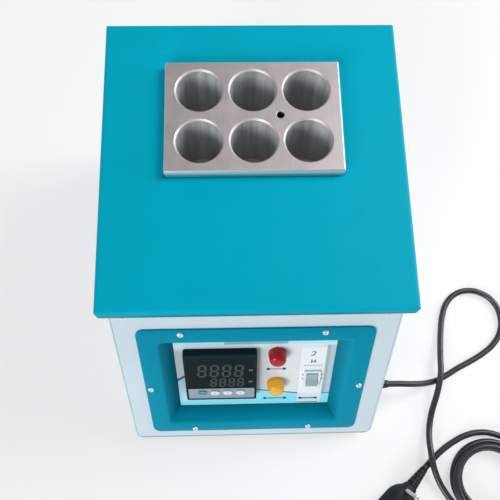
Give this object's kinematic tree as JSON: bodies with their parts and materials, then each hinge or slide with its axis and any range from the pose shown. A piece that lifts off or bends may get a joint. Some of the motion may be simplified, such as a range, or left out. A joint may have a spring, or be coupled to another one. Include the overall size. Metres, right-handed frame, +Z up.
{
  "type": "dry block heater",
  "caption": "Bench-top dry block heater: aluminium block with open wells, overhanging cover, sloped console with controller, lamps and rocker switch, and a coiled mains lead.",
  "frame": {"origin": "under the middle of the cabinet, on the surface its feet stand on", "axes": "+Z up, -Y towards the sloped console, +X to the right seen from the console"},
  "size_m": [0.4465, 0.4712, 0.222],
  "materials": {
    "cabinet_paint": "satin powder coat",
    "cover_paint": "satin powder coat",
    "gasket": "matt foam",
    "bezel_plastic": "satin",
    "panel_film": "satin printed film",
    "controller_plastic": "fine grain",
    "plated_steel": "zinc plated",
    "window": "polished",
    "key_strip": "satin silver",
    "blue_key": "soft",
    "white_key": "soft",
    "switch_plastic": "moulded",
    "rocker_plastic": "moulded",
    "brass": "bare",
    "red_lens": "clear moulded",
    "amber_lens": "clear moulded",
    "block_aluminium": "fine milled",
    "sheet_steel": "bare sheet",
    "heater_mica": "mica",
    "wool": "ceramic wool",
    "ceramic": "ceramic",
    "relay_plastic": "moulded",
    "sink_aluminium": "extruded",
    "black_plastic": "moulded",
    "foot_rubber": "matt",
    "cord_rubber": "satin PVC",
    "tie_plastic": "ribbed",
    "plated_brass": "nickel plated"
  },
  "bodies": {
    "cabinet": {"cabinet_tub": "cabinet_paint", "front_panel": "cabinet_paint", "rear_panel": "cabinet_paint", "top_cover": "cover_paint", "gasket_frame": "gasket", "front_bezel": "bezel_plastic", "control_panel": "panel_film", "controller_bezel": "controller_plastic", "controller_case": "controller_plastic", "controller_clamps": "plated_steel", "display_window": "window", "key_strip": "key_strip", "rocker_housing": "switch_plastic", "switch_tabs": "brass", "red_lens": "red_lens", "amber_lens": "amber_lens", "lamp_holders": "switch_plastic", "lamp_nuts": "plated_steel", "heating_block": "block_aluminium", "block_tray": "sheet_steel", "heater_plate": "heater_mica", "heater_clamp_plate": "sheet_steel", "insulation": "wool", "insulation_case": "sheet_steel", "case_legs": "sheet_steel", "temp_probe": "plated_steel", "thermal_cutout": "ceramic", "solid_state_relay": "relay_plastic", "relay_heat_sink": "sink_aluminium", "terminal_strip": "relay_plastic", "fuse_holder": "black_plastic", "fuse_cap": "black_plastic", "foot_front_left": "foot_rubber", "foot_front_right": "foot_rubber", "foot_rear_left": "foot_rubber", "foot_rear_right": "foot_rubber", "foot_screws": "plated_steel", "bezel_screws": "plated_steel", "face_screws": "plated_steel", "rear_screws": "plated_steel", "cover_screws": "plated_steel", "cord_gland": "cord_rubber", "gland_nut": "black_plastic", "cord_lead": "cord_rubber", "cord_coil": "cord_rubber", "cord_tail": "cord_rubber", "cord_tie": "tie_plastic", "plug_body": "cord_rubber", "plug_pins": "plated_brass"},
    "set_key_body": {"set_key": "blue_key"},
    "shift_key_body": {"shift_key": "white_key"},
    "up_key_body": {"up_key": "white_key"},
    "down_key_body": {"down_key": "white_key"},
    "rocker_body": {"rocker": "rocker_plastic"}
  },
  "joints": [
    {"name": "set_key_press", "type": "slide", "parent": "cabinet", "child": "set_key_body", "axis": [0, 0.866, -0.5], "range_m": [0, 0.0008], "stiffness_N_per_m": 400},
    {"name": "shift_key_press", "type": "slide", "parent": "cabinet", "child": "shift_key_body", "axis": [0, 0.866, -0.5], "range_m": [0, 0.0008], "stiffness_N_per_m": 400},
    {"name": "up_key_press", "type": "slide", "parent": "cabinet", "child": "up_key_body", "axis": [0, 0.866, -0.5], "range_m": [0, 0.0008], "stiffness_N_per_m": 400},
    {"name": "down_key_press", "type": "slide", "parent": "cabinet", "child": "down_key_body", "axis": [0, 0.866, -0.5], "range_m": [0, 0.0008], "stiffness_N_per_m": 400},
    {"name": "rocker_tilt", "type": "hinge", "parent": "cabinet", "child": "rocker_body", "pos_m": [0.05861, -0.1284, 0.07711], "axis": [1, 0, 0], "range_deg": [0, 18]}
  ]
}
